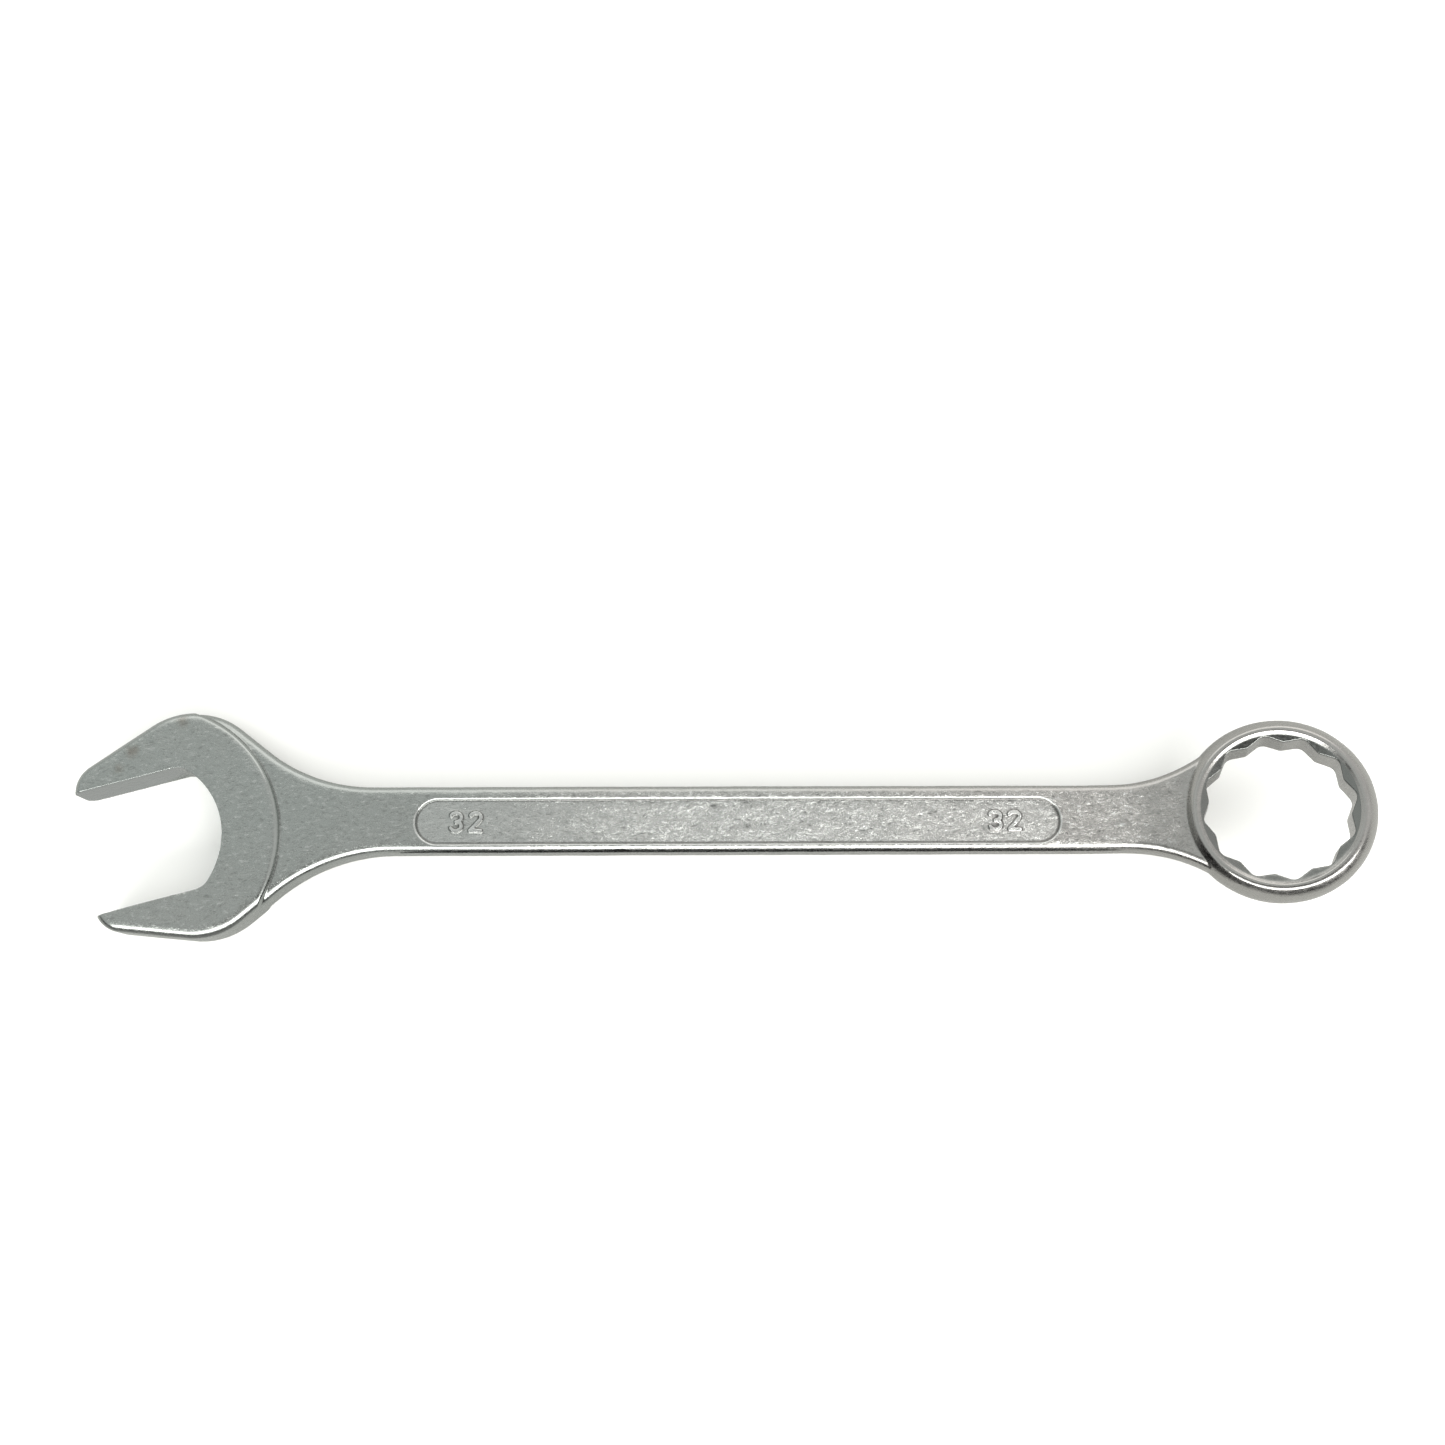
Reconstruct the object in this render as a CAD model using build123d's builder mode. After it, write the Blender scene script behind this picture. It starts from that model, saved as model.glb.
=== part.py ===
# Combination wrench for a 32 mm hexagon nut: an open jaw at one end, a twelve-point ring at the other.
#
# The real tool is a single drop forging. It is modelled here as the three zones a toolmaker names,
# which meet face to face on flat cuts across the bar: the open-end head, the shank and the ring head.
#
# Millimetres. The origin is the centre of the nut held in the open jaw, on the forging's parting plane.
# +X runs along the shank towards the ring, +Z is up, out of the face that carries the raised size.

import os
from math import cos, radians, sin, sqrt, tan

from build123d import *

# Nut size
across_flats = 32.0
nut_clearance = 0.2

# Open-end head
jaw_angle = 15.0              # jaw axis against the shank
jaw_setback = 21.2            # nut centre to the shank's centre line, along the jaw axis
tip_reach = 14.2              # nut centre to the jaw tips
tip_radius = 7.5
jaw_wall_inner = 9.9          # metal beside the jaw, on the side the jaw leans from
jaw_wall_outer = 8.8          # the same on the side the jaw leans to
flank_angle = 20.75           # each flank against the jaw axis
throat_clearance = 4.9        # throat arc beyond the nut's inscribed circle
throat_corner = 4.5
shoulder_lag_inner = 21.0     # nut centre back to the sharp shoulder corner, on the same two sides
shoulder_lag_outer = 14.1
shoulder_radius = 18.5
neck_angle_inner = 37.7       # neck lines against the shank, on the same two sides
neck_angle_outer = 41.5
neck_radius = 45.0
neck_run_out = 4.2            # straight bar left on the head before the cut
head_thickness = 12.0
head_face_land = 14.3         # throat arc to the arc that ends the raised head face
head_edge = 2.8
step_edge = 1.6

# Shank
shank_width = 17.3
shank_thickness = 9.0
shank_edge = 2.6

# Recessed panel on both faces of the shank, and the raised size at both its ends
panel_width = 11.5
panel_gap_head = 1.5          # panel's ends to the cuts across the shank
panel_gap_ring = 5.1
panel_shift = -0.75           # the panel sits a little off the centre line
panel_depth = 0.8
panel_lip = 0.5               # rounding of the panel's rim
digit_height = 5.5
digit_width = 3.7
digit_pitch = 5.0
digit_stroke = 0.9
digit_relief = 0.35
digit_inset_head = 12.8       # centre of each raised size, from the panel's two ends
digit_inset_ring = 14.2

# Ring head
ring_distance = 288.3         # nut centre of the jaw to the ring's centre, along the shank
ring_tilt = 17.0              # ring plane against the shank
ring_lift = 11.8              # ring's centre above the parting plane
ring_thickness = 13.2
ring_wall = 4.7               # metal outside the hole's corners
ring_barrel_radius = 8.8      # convex outer wall, in section
rim_clearance = 0.9           # top of the rim's inner slope, outside the hole's corners
rim_angle = 40.0              # inner slope, which ends level with the hole's corners
rim_inner_edge = 0.35
rim_outer_edge = 1.5
lead_in_angle = 17.0          # shallower lead-in, from there to the hole
broach_allowance = 1.0        # the blank's hole is this much inside the nut's inscribed circle
broach_angle = 6.5            # first corner of the twelve-point hole against the shank
corner_radius = 2.4
tooth_radius = 1.6
bend_radius = 60.0
bend_run_in = 0.7             # straight bar left on the ring's neck before its bend
ring_neck_radius = 40.0
ring_neck_inset = 0.9         # the neck's blend runs in under the barrel by this much
neck_stations = 10            # sections that the neck is lofted through

# Derived values
half_jaw = (across_flats + nut_clearance) / 2
throat_radius = half_jaw + throat_clearance
shank_y = jaw_setback * sin(radians(jaw_angle))
shank_top = shank_y + shank_width / 2
shank_bottom = shank_y - shank_width / 2
half_head = head_thickness / 2
half_shank = shank_thickness / 2
half_ring = ring_thickness / 2
hole_corner = half_jaw / cos(radians(30))
ring_radius = hole_corner + ring_wall
rim_inner_radius = hole_corner + rim_clearance
bend_x = ring_distance - ring_lift / tan(radians(ring_tilt))
shank_end = bend_x - bend_radius * tan(radians(ring_tilt / 2)) - bend_run_in
ring_plane = Plane(
    origin=(ring_distance, shank_y, ring_lift),
    x_dir=(cos(radians(ring_tilt)), 0, sin(radians(ring_tilt))),
    z_dir=(-sin(radians(ring_tilt)), 0, cos(radians(ring_tilt))),
)


def jaw_point(reach, width):
    """A point given by its reach from the nut centre towards the jaw's mouth and its width across it."""
    lean = radians(jaw_angle)
    return (-reach * cos(lean) - width * sin(lean), -reach * sin(lean) + width * cos(lean))


def flank_width(reach, wall):
    """Width of the head beside the jaw axis at a reach along it, given its wall at the nut centre."""
    return half_jaw + wall - reach * tan(radians(flank_angle))


def vertex_at(sketch, point):
    """The sketch's vertex nearest to a point of its outline."""
    return sketch.vertices().sort_by_distance((point[0], point[1], 0))[0]


# Sharp corners of the head's outline. The shank begins past the longer of the two neck arcs.
tip_upper = jaw_point(tip_reach, flank_width(tip_reach, jaw_wall_inner))
tip_lower = jaw_point(tip_reach, -flank_width(tip_reach, jaw_wall_outer))
shoulder_upper = jaw_point(-shoulder_lag_inner, flank_width(-shoulder_lag_inner, jaw_wall_inner))
shoulder_lower = jaw_point(-shoulder_lag_outer, -flank_width(-shoulder_lag_outer, jaw_wall_outer))
run_upper = (shoulder_upper[1] - shank_top) / tan(radians(neck_angle_inner))
run_lower = (shank_bottom - shoulder_lower[1]) / tan(radians(neck_angle_outer))
neck_upper = (shoulder_upper[0] + run_upper, shank_top)
neck_lower = (shoulder_lower[0] + run_lower, shank_bottom)
shank_start = neck_run_out + max(
    neck_upper[0] + neck_radius * tan(radians(neck_angle_inner / 2)),
    neck_lower[0] + neck_radius * tan(radians(neck_angle_outer / 2)),
)

with BuildSketch() as head_outline:
    with BuildLine():
        Polyline(
            tip_upper,
            shoulder_upper,
            neck_upper,
            (shank_start, shank_top),
            (shank_start, shank_bottom),
            neck_lower,
            shoulder_lower,
            tip_lower,
            close=True,
        )
    make_face()
    for shoulder in (shoulder_upper, shoulder_lower):
        fillet(vertex_at(head_outline, shoulder), shoulder_radius)
    for neck in (neck_upper, neck_lower):
        fillet(vertex_at(head_outline, neck), neck_radius)
    for tip in (tip_upper, tip_lower):
        fillet(vertex_at(head_outline, tip), tip_radius)

# The jaw opening: two parallel faces, closed by a round throat about the nut centre
throat_back = sqrt(throat_radius**2 - half_jaw**2)
corner_upper = jaw_point(-throat_back, half_jaw)
corner_lower = jaw_point(-throat_back, -half_jaw)
mouth = 2 * tip_reach
with BuildSketch() as jaw_opening:
    with BuildLine():
        Polyline(corner_upper, jaw_point(mouth, half_jaw), jaw_point(mouth, -half_jaw), corner_lower)
        ThreePointArc(corner_lower, jaw_point(-throat_radius, 0), corner_upper)
    make_face()
    for corner in (corner_upper, corner_lower):
        fillet(vertex_at(jaw_opening, corner), throat_corner)

# Neck of the open end: the whole outline at the shank's thickness, with the shank's rounded edges
with BuildPart() as head_neck:
    add(head_outline.sketch)
    extrude(amount=half_shank, both=True)
    for level in (0, -1):
        rounded = head_neck.edges().group_by(Axis.Z)[level]
        fillet(rounded.sort_by(Axis.X)[:-1], shank_edge)

# Thicker head plate, which ends behind the throat in a rounded arc about the nut centre
with BuildPart() as face_disc:
    Cylinder(throat_radius + head_face_land, head_thickness)
    fillet(face_disc.edges().filter_by(GeomType.CIRCLE), step_edge)

with BuildPart() as head_plate:
    add(head_outline.sketch)
    extrude(amount=half_head, both=True)
    for level in (0, -1):
        rounded = head_plate.edges().group_by(Axis.Z)[level]
        fillet(rounded.sort_by(Axis.X)[:-1], head_edge)
    add(face_disc.part, mode=Mode.INTERSECT)

with BuildPart() as open_end_head:
    add(head_neck.part)
    add(head_plate.part)
    with BuildSketch():
        add(jaw_opening.sketch)
    extrude(amount=half_head, both=True, mode=Mode.SUBTRACT)

# The raised size: each figure is a few round-ended strokes about its own centre
bowl = (digit_height - digit_stroke) / 4
arm = (digit_width - digit_stroke) / 2
foot = -2 * bowl
with BuildSketch() as three:
    with BuildLine():
        upper_bowl = EllipticalCenterArc((0, bowl), arm, bowl, start_angle=-90, arc_size=245)
    trace(line_width=digit_stroke)
    with BuildLine():
        lower_bowl = EllipticalCenterArc((0, -bowl), arm, bowl, start_angle=-160, arc_size=250)
    trace(line_width=digit_stroke)
    with Locations(upper_bowl @ 0, upper_bowl @ 1, lower_bowl @ 0):
        Circle(digit_stroke / 2)

with BuildSketch() as two:
    with BuildLine():
        hook = EllipticalCenterArc((0, bowl), arm, bowl, start_angle=-35, arc_size=190)
    trace(line_width=digit_stroke)
    for start, end in ((hook @ 0, (-arm, foot)), ((-arm, foot), (arm, foot))):
        with BuildLine():
            Line(start, end)
        trace(line_width=digit_stroke)
    with Locations(hook @ 0, hook @ 1, (-arm, foot), (arm, foot)):
        Circle(digit_stroke / 2)

with BuildSketch() as size_mark:
    with Locations((-digit_pitch / 2, 0)):
        add(three.sketch)
    with Locations((digit_pitch / 2, 0)):
        add(two.sketch)

# Shank: a bar with rounded edges, a recessed panel on each face and the size raised in it
top_floor = Plane.XY.offset(half_shank - panel_depth)
bottom_floor = Plane(origin=(0, 0, panel_depth - half_shank), x_dir=(1, 0, 0), z_dir=(0, 0, -1))
panel_start = shank_start + panel_gap_head
panel_end = shank_end - panel_gap_ring
mark_places = (panel_start + digit_inset_head, panel_end - digit_inset_ring)
with BuildPart() as shank:
    with BuildSketch():
        with Locations(((shank_start + shank_end) / 2, shank_y)):
            Rectangle(shank_end - shank_start, shank_width)
    extrude(amount=half_shank, both=True)
    fillet(shank.edges().filter_by(Axis.X), shank_edge)
    for floor, side in ((top_floor, 1), (bottom_floor, -1)):
        panel_y = side * shank_y + panel_shift
        with BuildSketch(floor):
            with Locations(((panel_start + panel_end) / 2, panel_y)):
                SlotOverall(panel_end - panel_start, panel_width)
        extrude(amount=panel_depth, mode=Mode.SUBTRACT)
        rim = shank.edges(Select.LAST).sort_by(Axis.Z, reverse=side > 0)[:4]
        fillet(rim, panel_lip)
        with BuildSketch(floor):
            with Locations(*[(mark_x, panel_y) for mark_x in mark_places]):
                add(size_mark.sketch)
        extrude(amount=digit_relief)

# Neck of the ring head: the bar bends up to the ring's plane and widens in an arc on each side,
# which runs out against the ring. It ends inside the barrel.
blend_circle = ring_radius - ring_neck_inset
blend_reach = blend_circle + ring_neck_radius
blend_span = sqrt(blend_reach**2 - (shank_width / 2 + ring_neck_radius) ** 2)
neck_stop = blend_span * blend_circle / blend_reach


def neck_width(distance):
    """Width of the neck at a distance from the ring's centre, along the bar's centre line."""
    along_blend = max(blend_span - distance, 0)
    return shank_width + 2 * (ring_neck_radius - sqrt(ring_neck_radius**2 - along_blend**2))


with BuildLine(Plane.XZ.offset(-shank_y)) as neck_path:
    FilletPolyline((shank_end, 0), (bend_x, 0), (ring_distance, ring_lift), radius=bend_radius)
neck_line = neck_path.wire()
with BuildPart() as ring_neck:
    for station in range(neck_stations + 1):
        distance = neck_line.length - (neck_line.length - neck_stop) * station / neck_stations
        share = 1 - distance / neck_line.length
        across = Plane(origin=neck_line @ share, x_dir=(0, 1, 0), z_dir=neck_line % share)
        with BuildSketch(across):
            RectangleRounded(neck_width(distance), shank_thickness, shank_edge)
    loft()

# Ring section, in the plane through the shank's centre line: x is the radius, y the height
section_plane = Plane(origin=ring_plane.origin, x_dir=ring_plane.x_dir, z_dir=(0, -1, 0))
rim_outer_radius = ring_radius - ring_barrel_radius + sqrt(ring_barrel_radius**2 - half_ring**2)
core_radius = half_jaw - broach_allowance
rim_foot_half = half_ring - rim_clearance * tan(radians(rim_angle))
core_half = rim_foot_half - (hole_corner - core_radius) * tan(radians(lead_in_angle))
with BuildSketch() as ring_section:
    with BuildLine():
        ThreePointArc(
            (rim_outer_radius, -half_ring),
            (ring_radius, 0),
            (rim_outer_radius, half_ring),
        )
        Polyline(
            (rim_outer_radius, half_ring),
            (rim_inner_radius, half_ring),
            (hole_corner, rim_foot_half),
            (core_radius, core_half),
            (core_radius, -core_half),
            (hole_corner, -rim_foot_half),
            (rim_inner_radius, -half_ring),
            (rim_outer_radius, -half_ring),
        )
    make_face()
    rim_corners = ring_section.vertices().sort_by(Axis.X)
    fillet(rim_corners[4:6], rim_inner_edge)
    rim_corners = ring_section.vertices().sort_by(Axis.X)
    fillet(rim_corners[-2:], rim_outer_edge)

# Twelve-point hole: two hexagons a twelfth of a turn apart, with eased corners and teeth
with BuildSketch() as twelve_point:
    RegularPolygon(half_jaw, 6, major_radius=False, rotation=broach_angle)
    RegularPolygon(half_jaw, 6, major_radius=False, rotation=broach_angle + 30)
    fillet(twelve_point.vertices().sort_by_distance((0, 0, 0))[12:], corner_radius)
    fillet(twelve_point.vertices().sort_by_distance((0, 0, 0))[:12], tooth_radius)

with BuildPart() as ring_head:
    add(ring_neck.part)
    with BuildSketch(section_plane):
        add(ring_section.sketch)
    revolve(axis=Axis(ring_plane.origin, ring_plane.z_dir))
    with BuildSketch(ring_plane):
        add(twelve_point.sketch)
    extrude(amount=ring_thickness, both=True, mode=Mode.SUBTRACT)

open_end_head.part.label = "open_end_head"
shank.part.label = "shank"
ring_head.part.label = "ring_head"

os.makedirs("parts", exist_ok=True)
export_step(open_end_head.part, "parts/open_end_head.step")
export_step(shank.part, "parts/shank.step")
export_step(ring_head.part, "parts/ring_head.step")
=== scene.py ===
import math

import bpy
from mathutils import Matrix, Vector


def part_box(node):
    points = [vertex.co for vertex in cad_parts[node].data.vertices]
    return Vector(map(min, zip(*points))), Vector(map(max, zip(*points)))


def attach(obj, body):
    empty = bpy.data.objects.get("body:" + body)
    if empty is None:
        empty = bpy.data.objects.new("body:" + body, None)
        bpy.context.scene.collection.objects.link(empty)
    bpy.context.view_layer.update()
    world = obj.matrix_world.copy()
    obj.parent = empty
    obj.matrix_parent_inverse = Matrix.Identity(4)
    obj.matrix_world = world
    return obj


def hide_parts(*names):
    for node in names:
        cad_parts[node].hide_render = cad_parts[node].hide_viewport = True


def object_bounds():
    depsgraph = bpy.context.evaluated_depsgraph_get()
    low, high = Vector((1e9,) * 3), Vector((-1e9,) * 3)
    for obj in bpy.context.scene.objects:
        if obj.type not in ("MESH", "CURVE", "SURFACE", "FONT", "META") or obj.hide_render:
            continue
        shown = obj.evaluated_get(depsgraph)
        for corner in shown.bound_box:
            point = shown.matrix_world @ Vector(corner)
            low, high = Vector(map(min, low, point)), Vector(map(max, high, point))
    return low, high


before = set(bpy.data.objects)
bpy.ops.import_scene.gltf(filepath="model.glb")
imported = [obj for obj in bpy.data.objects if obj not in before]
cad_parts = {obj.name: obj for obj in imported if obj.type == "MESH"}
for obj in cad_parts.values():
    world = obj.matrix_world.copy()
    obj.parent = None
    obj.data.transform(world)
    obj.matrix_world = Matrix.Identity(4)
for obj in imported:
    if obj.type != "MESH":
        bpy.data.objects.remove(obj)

cadLow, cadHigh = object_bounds()
mm = 0.001


def hexColor(code):
    channels = [int(code[i:i + 2], 16) / 255 for i in (1, 3, 5)]
    linear = [c / 12.92 if c <= 0.04045 else ((c + 0.055) / 1.055) ** 2.4 for c in channels]
    return (*linear, 1)


def clearTree(owner):
    owner.use_nodes = True
    owner.node_tree.nodes.clear()
    return owner.node_tree


def addNode(tree, kind, settings, inputs):
    node = tree.nodes.new("ShaderNode" + kind)
    for name, value in settings.items():
        setattr(node, name, value)
    for name, value in inputs.items():
        if isinstance(value, bpy.types.NodeSocket):
            tree.links.new(value, node.inputs[name])
        else:
            node.inputs[name].default_value = value
    return node


def mathNode(tree, operation, *values):
    return addNode(tree, "Math", {"operation": operation}, dict(enumerate(values))).outputs[0]


def remap(tree, value, start, end, low=0.0, high=1.0, curve="LINEAR"):
    inputs = dict(enumerate((value, start, end, low, high)))
    return addNode(tree, "MapRange", {"interpolation_type": curve}, inputs).outputs[0]


def smoothStep(tree, value, start, end, low=0.0, high=1.0):
    return remap(tree, value, start, end, low, high, "SMOOTHSTEP")


def mixColors(tree, share, first, second, blend="MIX"):
    inputs = dict(enumerate((share, first, second)))
    return addNode(tree, "MixRGB", {"blend_type": blend}, inputs).outputs[0]


def deselectAll():
    bpy.ops.object.select_all(action="DESELECT")


def makeActive(piece):
    deselectAll()
    piece.select_set(True)
    bpy.context.view_layer.objects.active = piece


def applyModifier(piece, kind, settings):
    modifier = piece.modifiers.new(kind.title(), kind)
    for name, value in settings.items():
        setattr(modifier, name, value)
    makeActive(piece)
    bpy.ops.object.modifier_apply(modifier=modifier.name)


# The forging
forging = {
    "nodes": ("open_end_head", "shank", "ring_head"),
    "weld": 0.002 * mm,      # corners closer than this become one
    "cutReach": 0.01 * mm,   # a face this near a cut's plane, and square to the shank, is a cut
    "cutFacing": 0.99,
    "cell": 0.20 * mm,
    "softening": 1,
    "softenBy": 0.5,
    "waveSize": 9 * mm,      # slow unevenness of the dies
    "waveDepth": 0.12 * mm,
    "dentSize": 2.0 * mm,    # small dents from tumbling
    "dentDepth": 0.012 * mm,
    "triangles": 196000,
}


def joinZones(names):
    copies = []
    for name in names:
        copy = bpy.data.objects.new("zone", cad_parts[name].data.copy())
        bpy.context.scene.collection.objects.link(copy)
        copies.append(copy)
    deselectAll()
    for copy in copies:
        copy.select_set(True)
    bpy.context.view_layer.objects.active = copies[0]
    bpy.ops.object.join()
    piece = copies[0]
    piece.name = piece.data.name = "forging"
    piece.data.materials.clear()
    return piece


def openCuts(piece, values):
    bpy.ops.object.mode_set(mode="EDIT")
    bpy.ops.mesh.select_mode(type="FACE")
    bpy.ops.mesh.select_all(action="SELECT")
    bpy.ops.mesh.remove_doubles(threshold=values["weld"])
    bpy.ops.mesh.select_all(action="DESELECT")
    bpy.ops.object.mode_set(mode="OBJECT")
    shankLow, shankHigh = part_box("shank")
    for face in piece.data.polygons:
        away = min(abs(face.center.x - shankLow.x), abs(face.center.x - shankHigh.x))
        face.select = away < values["cutReach"] and abs(face.normal.x) > values["cutFacing"]
    bpy.ops.object.mode_set(mode="EDIT")
    bpy.ops.mesh.delete(type="FACE")
    bpy.ops.object.mode_set(mode="OBJECT")


def makeForging(values):
    # One skin over the three zones: their meshes joined, and the cuts between them opened
    piece = joinZones(values["nodes"])
    openCuts(piece, values)
    applyModifier(piece, "REMESH", {"mode": "VOXEL", "voxel_size": values["cell"]})
    print("forging skin:", len(piece.data.polygons), "faces")
    applyModifier(piece, "SMOOTH", {"factor": values["softenBy"],
                                    "iterations": values["softening"]})
    for size, depth in (("waveSize", "waveDepth"), ("dentSize", "dentDepth")):
        pattern = bpy.data.textures.new(size, "CLOUDS")
        pattern.noise_scale = values[size]
        pattern.noise_depth = 1
        applyModifier(piece, "DISPLACE", {"texture": pattern, "texture_coords": "LOCAL",
                                          "strength": values[depth], "mid_level": 0.5})
    # The skin is all quads, so each face gives two triangles
    share = values["triangles"] / (2 * len(piece.data.polygons))
    if share < 1:
        applyModifier(piece, "DECIMATE", {"ratio": share})
    makeActive(piece)
    bpy.ops.object.shade_smooth()
    print("forging:", len(piece.data.polygons), "faces")
    return piece


# Satin plate over a tumbled drop forging: grey metal, half dull, with fine bright flecks where the
# grit has burnished it and edges rubbed smoother than the faces. Spans and runs give where an
# effect starts and where it is whole, and noise scales are per metre.
plate = {
    "cool": "#a8adaa",
    "warm": "#b1b0ad",
    "stain": "#83796e",
    # the fleck shade also paints highlights on the panel's lip and figure tops, and the panel
    # floor's painted sheen
    "fleckAndHighlight": "#dcdedc",
    "pit": "#5c5e5c",
    # painted shade in creases, at the panel's foot and around its raised figures
    "paintedShade": "#3c3b39",
    # painted shade in the ring's lead-in
    "leadInShade": "#767977",
    "flecks": 0.45 * mm,
    "lumps": 1.5 * mm,
    "bendScale": 160.0,
    "bendShare": 0.0012,
    "stretch": (0.5, 1.0, 1.0),
    "driftScale": 14.0,
    "driftSpan": (0.4, 1.3),
    "tintRun": (60 * mm, 260 * mm),
    "shankRun": (70 * mm, 140 * mm),
    "ringRun": (262 * mm, 270 * mm),
    "headMarks": 0.50,
    "ringMarks": 0.15,
    "slopeMarks": 0.12,
    "flatFacing": (0.90, 0.99),
    # painted shade in creases, where pointiness is low
    "creaseShade": {"span": (0.492, 0.472), "most": 0.6},
    "edge": {"span": (0.503, 0.520), "roughness": 0.12},
    "dull": {"span": (0.35, 0.68), "roughness": (0.32, 0.18)},
    "relief": {"lumps": 0.6 * mm, "fine": 0.4 * mm, "cells": 0.03 * mm},
    "stains": ((-3.7, 23.0, 2.4), (8.6, 31.0, 2.2), (-6.6, 18.5, 1.8)),  # x, y, radius in mm
    "stainHeight": 6 * mm,
    "stainRagged": 2.5 * mm,
    "stainSpan": (1.7, 0.5),  # in radii
    "stainMost": 0.55,
}

# The panel in each face of the shank. Heights are from the parting plane, and the painted shade at
# the foot of its wall and the painted highlight along its lip are lines at a distance from its
# outline, negative inside.
panel = {
    "middle": (152.23 * mm, 5.487 * mm),
    "shift": -0.75 * mm,
    "straight": 76.98 * mm,
    "radius": 5.75 * mm,
    "sunk": (4.2 * mm, 4.0 * mm),
    # how far the panel floor's painted sheen goes
    "paintedSheenMost": 0.35,
    "within": (-0.6 * mm, -0.9 * mm),
    # painted shade on the figures' sides, painted highlight on their tops
    "figureFoot": (3.76 * mm, 3.83 * mm),
    "figureSide": (4.03 * mm, 3.95 * mm),
    "figureTop": (3.97 * mm, 4.03 * mm),
    "figureShadeMost": 0.85,
    "figureHighlightMost": 0.6,
    # painted shade at the foot of the panel's wall, painted highlight along its lip
    "foot": {"at": -0.26 * mm, "span": (0.36 * mm, 0.12 * mm), "most": 0.6},
    "lip": {"at": 0.25 * mm, "span": (0.40 * mm, 0.15 * mm), "most": 0.7},
}

# Where painted shade darkens the ring's lead-in
leadInShade = {
    "centre": (288.3 * mm, 5.487 * mm, 11.8 * mm),
    "tilt": math.radians(17),
    "radius": 18.7 * mm,
    "height": 4.7 * mm,
    "rimFade": 0.1 * mm,
    "heightFade": (-0.2 * mm, 0.1 * mm),
    "most": 0.8,
}


def panelOutline(tree, axes, values):
    # Distance from the panel's outline, negative inside. The panel is shifted towards -Y on the
    # visible face and towards +Y on the other.
    side = mathNode(tree, "SIGN", axes["Z"])
    across = mathNode(tree, "SUBTRACT", axes["Y"], values["middle"][1])
    across = mathNode(tree, "SUBTRACT", across, mathNode(tree, "MULTIPLY", side, values["shift"]))
    along = mathNode(tree, "ABSOLUTE", mathNode(tree, "SUBTRACT", axes["X"], values["middle"][0]))
    along = mathNode(tree, "MAXIMUM", mathNode(tree, "SUBTRACT", along, values["straight"]), 0.0)
    squares = mathNode(tree, "ADD", mathNode(tree, "MULTIPLY", across, across),
                       mathNode(tree, "MULTIPLY", along, along))
    return mathNode(tree, "SUBTRACT", mathNode(tree, "SQRT", squares), values["radius"])


def lineAlong(tree, outline, line):
    away = mathNode(tree, "ABSOLUTE", mathNode(tree, "SUBTRACT", outline, line["at"]))
    return smoothStep(tree, away, *line["span"], 0.0, line["most"])


def leadInShadeMask(tree, place, values):
    # The lead-in lies inside the rim, near each of the ring's faces
    fromCentre = addNode(tree, "VectorMath", {"operation": "SUBTRACT"},
                         {0: place, 1: values["centre"]}).outputs[0]
    axis = (-math.sin(values["tilt"]), 0, math.cos(values["tilt"]))
    above = addNode(tree, "VectorMath", {"operation": "DOT_PRODUCT"}, {0: fromCentre, 1: axis})
    above = mathNode(tree, "ABSOLUTE", above.outputs["Value"])
    away = addNode(tree, "VectorMath", {"operation": "LENGTH"}, {0: fromCentre}).outputs["Value"]
    squares = mathNode(tree, "SUBTRACT", mathNode(tree, "POWER", away, 2.0),
                       mathNode(tree, "POWER", above, 2.0))
    inside = smoothStep(tree, mathNode(tree, "SQRT", squares), values["radius"] + values["rimFade"],
                        values["radius"] - values["rimFade"], 0.0, values["most"])
    nearFace = smoothStep(tree, above, *[values["height"] + fade for fade in values["heightFade"]])
    return mathNode(tree, "MULTIPLY", inside, nearFace)


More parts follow.
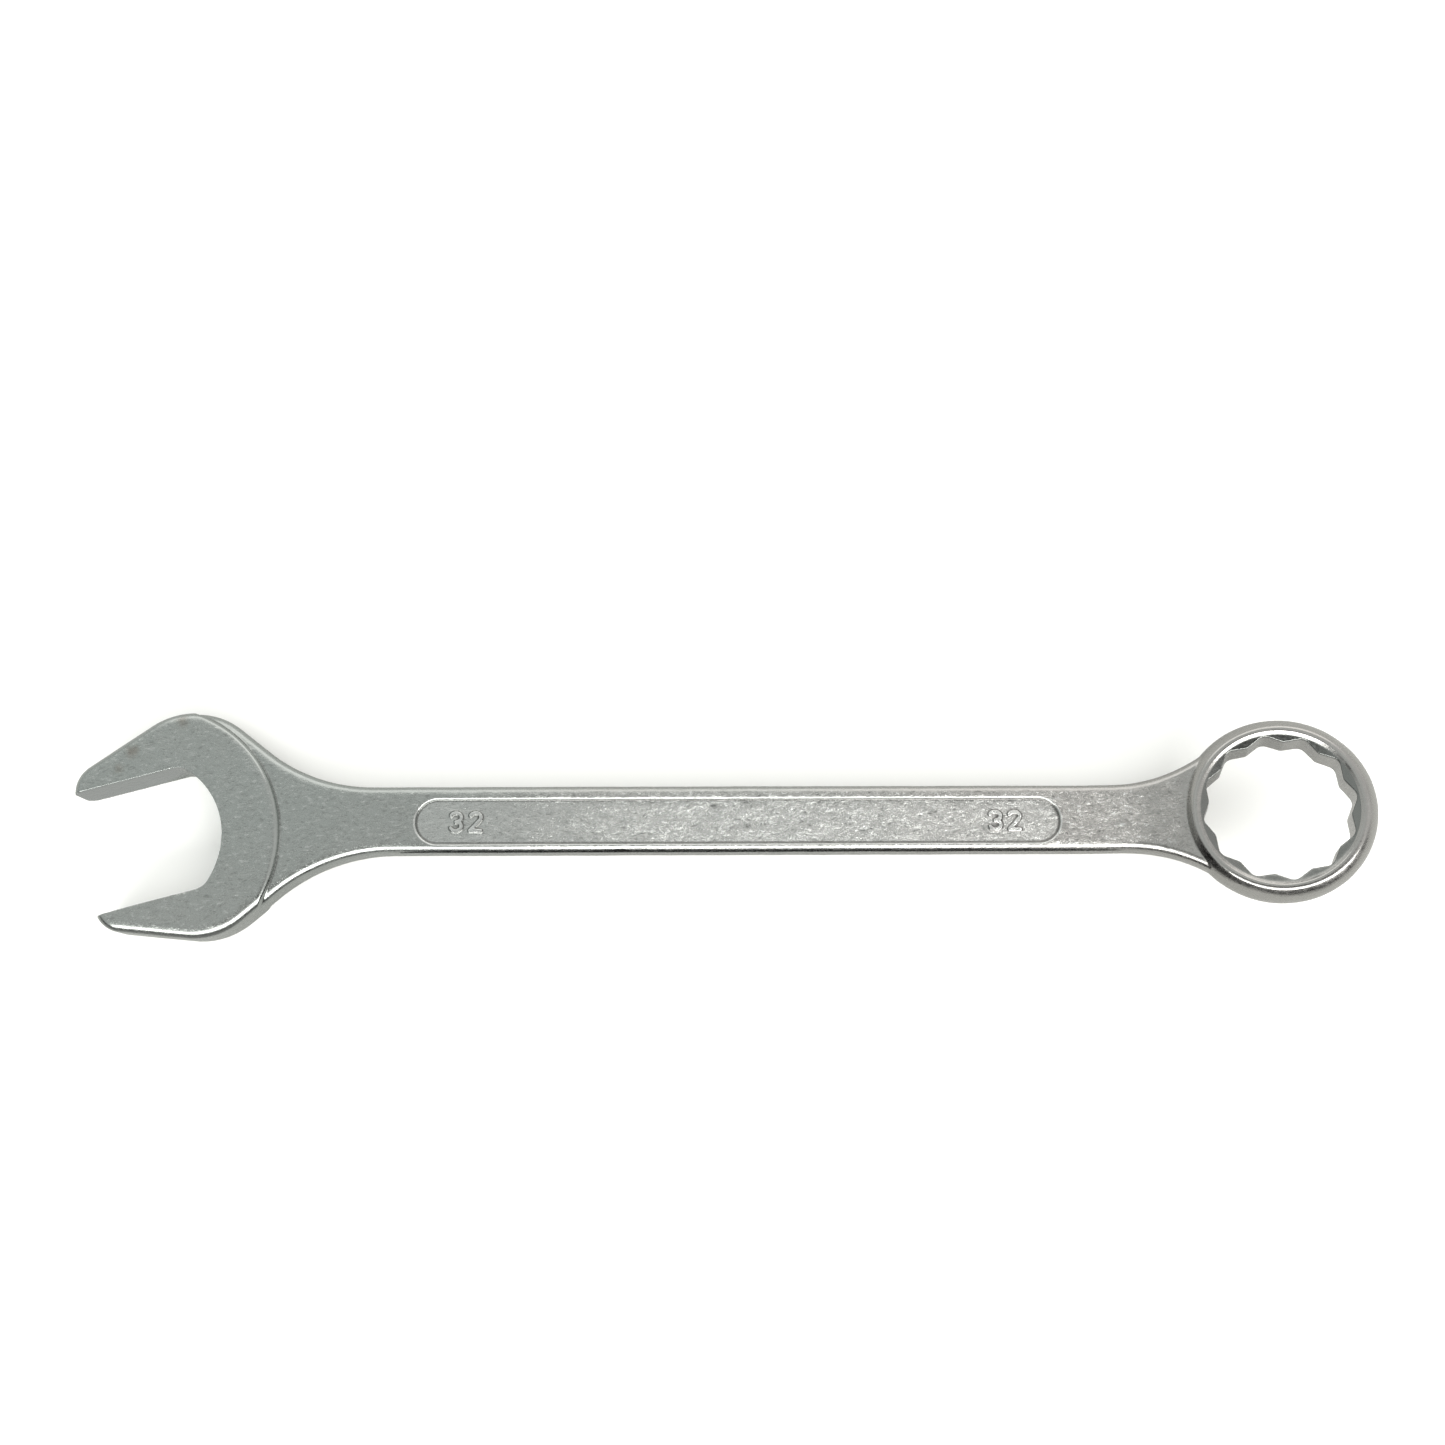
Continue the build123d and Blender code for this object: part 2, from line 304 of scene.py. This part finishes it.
def makePlate(values, panelValues, leadInShadeValues):
    material = bpy.data.materials.new("satinPlatedForging")
    tree = clearTree(material)
    shades = {name: hexColor(values[name])
              for name in ("cool", "warm", "stain", "fleckAndHighlight", "pit", "paintedShade", "leadInShade")}
    place = addNode(tree, "TexCoord", {}, {}).outputs["Object"]
    axes = addNode(tree, "SeparateXYZ", {}, {0: place}).outputs
    # Flecks: short burnished strokes, so the pattern is stretched and bent by a broad noise
    bend = addNode(tree, "TexNoise", {}, {"Vector": place, "Scale": values["bendScale"],
                                          "Detail": 1.0})
    drawn = addNode(tree, "VectorMath", {"operation": "MULTIPLY"}, {0: place, 1: values["stretch"]})
    swirl = mixColors(tree, values["bendShare"], drawn.outputs[0], bend.outputs["Color"],
                      "LINEAR_LIGHT")
    fine = addNode(tree, "TexNoise", {}, {"Vector": swirl, "Scale": 1 / values["flecks"] / 2,
                                          "Detail": 4.0, "Roughness": 0.75}).outputs[0]
    cells = addNode(tree, "TexVoronoi", {"feature": "F1"},
                    {"Vector": swirl, "Scale": 1 / values["flecks"] / 1.5})
    lumps = addNode(tree, "TexNoise", {}, {"Vector": place, "Scale": 1 / values["lumps"] / 2,
                                           "Detail": 3.0, "Roughness": 0.55}).outputs[0]
    # How rough the forging is: the middle of the shank and the ring's neck most, the heads less
    shankIn = smoothStep(tree, axes["X"], *values["shankRun"], values["headMarks"], 1.0)
    ringOut = smoothStep(tree, axes["X"], *values["ringRun"], 1.0, values["ringMarks"])
    # Only the flats keep their scale marks; slopes and roundings are rubbed nearly clean
    facing = addNode(tree, "TexCoord", {}, {}).outputs["Normal"]
    level = mathNode(tree, "ABSOLUTE", addNode(tree, "SeparateXYZ", {}, {0: facing}).outputs["Z"])
    flat = smoothStep(tree, level, *values["flatFacing"], values["slopeMarks"], 1.0)
    rough = mathNode(tree, "MULTIPLY", mathNode(tree, "MULTIPLY", shankIn, ringOut), flat)
    # The panel's floor is painted paler than the ground faces, a painted sheen
    height = mathNode(tree, "ABSOLUTE", axes["Z"])
    sunk = smoothStep(tree, height, *panelValues["sunk"], 0.0, panelValues["paintedSheenMost"])
    drift = addNode(tree, "TexNoise", {}, {"Vector": place, "Scale": values["driftScale"],
                                           "Detail": 2.0})
    toWarm = mathNode(tree, "ADD", remap(tree, axes["X"], *values["tintRun"]), drift.outputs[0])
    warmth = remap(tree, toWarm, *values["driftSpan"])
    color = mixColors(tree, warmth, shades["cool"], shades["warm"])
    color = mixColors(tree, mathNode(tree, "MULTIPLY", sunk, flat), color, shades["fleckAndHighlight"])
    # Brown stains on the upper jaw
    for x, y, radius in values["stains"]:
        away = addNode(tree, "VectorMath", {"operation": "DISTANCE"},
                       {0: place, 1: (x * mm, y * mm, values["stainHeight"])})
        ragged = mathNode(tree, "MULTIPLY_ADD", lumps, values["stainRagged"], away.outputs["Value"])
        faint, full = [radius * share * mm for share in values["stainSpan"]]
        mask = smoothStep(tree, ragged, faint, full, 0.0, values["stainMost"])
        color = mixColors(tree, mask, color, shades["stain"])
    # Burnished flecks and dull pits
    for start, end, shade, most in ((0.56, 0.66, "fleckAndHighlight", 0.9), (0.44, 0.34, "pit", 0.75)):
        share = mathNode(tree, "MULTIPLY", remap(tree, fine, start, end, 0.0, most), rough)
        color = mixColors(tree, share, color, shades[shade])
    # Painted shade darkens the creases, and tumbling has rubbed the edges smooth
    form = addNode(tree, "NewGeometry", {}, {}).outputs["Pointiness"]
    creaseShade = smoothStep(tree, form, *values["creaseShade"]["span"], 0.0, values["creaseShade"]["most"])
    # Painted shade along the foot of the panel's wall, painted highlight along its lip
    outline = panelOutline(tree, axes, panelValues)
    foot = lineAlong(tree, outline, panelValues["foot"])
    lip = lineAlong(tree, outline, panelValues["lip"])
    # Inside the panel, painted shade outlines the raised figures and a painted highlight brightens
    # their tops; the same painted highlight runs along the panel's lip
    within = smoothStep(tree, outline, *panelValues["within"])
    sides = mathNode(tree, "MULTIPLY", smoothStep(tree, height, *panelValues["figureFoot"]),
                     smoothStep(tree, height, *panelValues["figureSide"], 0.0,
                                panelValues["figureShadeMost"]))
    figureShade = mathNode(tree, "MULTIPLY", sides, within)
    figureHighlight = smoothStep(tree, height, *panelValues["figureTop"], 0.0, panelValues["figureHighlightMost"])
    paintedHighlight = mathNode(tree, "MAXIMUM", mathNode(tree, "MULTIPLY", within, figureHighlight), lip)
    color = mixColors(tree, paintedHighlight, color, shades["fleckAndHighlight"])
    paintedShadeShare = mathNode(tree, "MAXIMUM", mathNode(tree, "MAXIMUM", creaseShade, foot), figureShade)
    color = mixColors(tree, paintedShadeShare, color, shades["paintedShade"])
    # Painted shade darkens the ring's lead-in
    color = mixColors(tree, leadInShadeMask(tree, place, leadInShadeValues), color, shades["leadInShade"])
    edge = smoothStep(tree, form, *values["edge"]["span"])
    dull = remap(tree, fine, *values["dull"]["span"], *values["dull"]["roughness"])
    shine = remap(tree, edge, 0.0, 1.0, dull, values["edge"]["roughness"])
    reliefs = values["relief"]
    bump = addNode(tree, "Bump", {}, {"Strength": rough, "Distance": reliefs["lumps"],
                                      "Height": lumps})
    bump = addNode(tree, "Bump", {}, {"Strength": rough, "Distance": reliefs["fine"],
                                      "Height": fine, "Normal": bump.outputs[0]})
    bump = addNode(tree, "Bump", {}, {"Strength": rough, "Distance": reliefs["cells"],
                                      "Height": cells.outputs["Distance"],
                                      "Normal": bump.outputs[0]})
    shader = addNode(tree, "BsdfPrincipled", {}, {"Base Color": color, "Metallic": 1.0,
                                                  "Roughness": shine, "Normal": bump.outputs[0]})
    addNode(tree, "OutputMaterial", {}, {"Surface": shader.outputs[0]})
    print("plate:", len(tree.nodes), "nodes")
    return material


piece = makeForging(forging)
piece.data.materials.append(makePlate(plate, panel, leadInShade))
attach(piece, "root")
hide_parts("open_end_head", "shank", "ring_head")

# Pale paper floor, darker where the metal mirrors it than it looks
stage = {"size": 8.0, "middle": (0.15, 0), "sides": 96, "paper": "#f4f4f2", "mirrored": "#b2b2b0"}


def makeStage(values):
    deselectAll()
    bpy.ops.mesh.primitive_circle_add(vertices=values["sides"], radius=values["size"] / 2,
                                      fill_type="NGON", location=(*values["middle"], cadLow.z))
    floor = bpy.context.object
    floor.name = "floor"
    material = bpy.data.materials.new("palePaper")
    tree = clearTree(material)
    rays = addNode(tree, "LightPath", {}, {}).outputs
    shade = mixColors(tree, rays["Is Glossy Ray"], hexColor(values["paper"]),
                      hexColor(values["mirrored"]))
    shader = addNode(tree, "BsdfDiffuse", {}, {"Color": shade})
    addNode(tree, "OutputMaterial", {}, {"Surface": shader.outputs[0]})
    floor.data.materials.append(material)
    print("floor at", round(cadLow.z / mm, 2), "mm")


makeStage(stage)

# Light: a bright window low in front and to the right, and a pale wall behind
lights = {
    "frontWindow": {"at": (0.35, -1.3, 0.80), "size": (3.4, 0.62), "radiance": 6.0,
                    "tone": "#fffefc"},
    "backWall": {"at": (0.1, 1.9, 0.9), "size": (3.2, 1.3), "radiance": 0.9, "tone": "#fdf9f6"},
}
lightsAim = (0.146, 0.004, 0)

# The room around: a dull, uneven ceiling, dark low down in front, and plain white where it is
# looked at. Spans are of one component of the direction, or of the clutter's noise.
room = {
    "left": "#d9dcda",
    "right": "#e6e5e3",
    "horizon": "#3c3c3c",
    "seen": "#ffffff",
    "acrossSpan": (-0.4, 0.5),
    "lowSpan": (0.30, 0.14),
    "frontSpan": (0.0, -0.4),
    "clutterScale": 4.5,
    "clutterSpan": (0.35, 0.65),
    "clutterShades": (0.78, 1.2),
    "onPaper": 1.75,
}

# Dim glowing planes that only show mirrored in the metal: painted reflections of somebody leaning
# over and of the bench in front, and painted shade near the tool
cards = {
    "jawSkirt": {"at": (-0.012, 0.0, cadLow.z + 0.0002), "size": (0.050, 0.034),
                 "shade": "#cfcfcd"},
    "visitor": {"at": (0.19, -0.23, 0.62), "size": (0.60, 0.24), "shade": "#5a5857"},
    "headSkirt": {"at": (-0.01, -0.10, cadLow.z + 0.0002), "size": (0.14, 0.13),
                  "shade": "#9c9c9a"},
    "shankSkirt": {"at": (0.158, -0.055, cadLow.z + 0.0004), "size": (0.19, 0.09),
                   "shade": "#2c2c2c"},
    "farSkirt": {"at": (0.16, -0.75, cadLow.z + 0.0006), "size": (2.4, 1.3), "shade": "#484848"},
}


def makeLights(values, aim):
    for name, lamp in values.items():
        data = bpy.data.lights.new(name, "AREA")
        data.shape = "RECTANGLE"
        data.size, data.size_y = lamp["size"]
        data.energy = lamp["radiance"] * math.pi * data.size * data.size_y
        data.color = hexColor(lamp["tone"])[:3]
        light = bpy.data.objects.new(name, data)
        light.location = lamp["at"]
        light.rotation_euler = (Vector(aim) - light.location).to_track_quat("-Z", "Y").to_euler()
        bpy.context.scene.collection.objects.link(light)
    print("lights:", len(values))


def makeRoom(values):
    world = bpy.data.worlds.new("room")
    bpy.context.scene.world = world
    tree = clearTree(world)
    toward = addNode(tree, "TexCoord", {}, {}).outputs["Generated"]
    axes = addNode(tree, "SeparateXYZ", {}, {0: toward}).outputs
    across = remap(tree, axes["X"], *values["acrossSpan"])
    ceiling = mixColors(tree, across, hexColor(values["left"]), hexColor(values["right"]))
    clutter = addNode(tree, "TexNoise", {}, {"Vector": toward, "Scale": values["clutterScale"],
                                             "Detail": 2.0})
    patches = remap(tree, clutter.outputs[0], *values["clutterSpan"], *values["clutterShades"])
    ceiling = mixColors(tree, 1.0, ceiling, patches, "MULTIPLY")
    dim = mathNode(tree, "MULTIPLY", smoothStep(tree, axes["Z"], *values["lowSpan"]),
                   smoothStep(tree, axes["Y"], *values["frontSpan"]))
    walls = mixColors(tree, dim, ceiling, hexColor(values["horizon"]))
    rays = addNode(tree, "LightPath", {}, {}).outputs
    shade = mixColors(tree, rays["Is Camera Ray"], walls, hexColor(values["seen"]))
    # The room lights the paper harder than it shows in the metal, so the paper stays white
    glare = remap(tree, rays["Is Diffuse Ray"], 0.0, 1.0, 1.0, values["onPaper"])
    back = addNode(tree, "Background", {}, {"Color": shade, "Strength": glare})
    addNode(tree, "OutputWorld", {}, {"Surface": back.outputs[0]})
    print("room:", len(tree.nodes), "nodes")


def makeCards(values):
    for name, card in values.items():
        deselectAll()
        bpy.ops.mesh.primitive_plane_add(size=1, location=card["at"])
        shape = bpy.context.object
        shape.name = name
        shape.scale = (*card["size"], 1)
        shape.visible_camera = shape.visible_diffuse = shape.visible_shadow = False
        material = bpy.data.materials.new(name)
        tree = clearTree(material)
        glow = addNode(tree, "Emission", {}, {"Color": hexColor(card["shade"])})
        addNode(tree, "OutputMaterial", {}, {"Surface": glow.outputs[0]})
        shape.data.materials.append(material)
    print("cards:", len(values))


makeLights(lights, lightsAim)
makeRoom(room)
makeCards(cards)

# Camera: above the shank, leaning from the near side
view = {
    "at": (0.1437, -0.0603, 0.3691),
    "looks": (0.012, 0.242, -0.970),
    "up": (0.002, 0.970, 0.242),
    "lens": 35.93,
    "sensor": 36.0,
    "clip": (0.01, 50),
}


def makeCamera(values):
    data = bpy.data.cameras.new("camera")
    data.lens = values["lens"]
    data.sensor_width = values["sensor"]
    data.clip_start, data.clip_end = values["clip"]
    camera = bpy.data.objects.new("camera", data)
    back = -Vector(values["looks"]).normalized()
    right = Vector(values["up"]).cross(back).normalized()
    turn = Matrix((right, back.cross(right), back)).transposed()
    camera.matrix_world = Matrix.Translation(values["at"]) @ turn.to_4x4()
    bpy.context.scene.collection.objects.link(camera)
    bpy.context.scene.camera = camera
    print("camera at", values["at"])


makeCamera(view)
bpy.context.scene.view_settings.view_transform = "Standard"
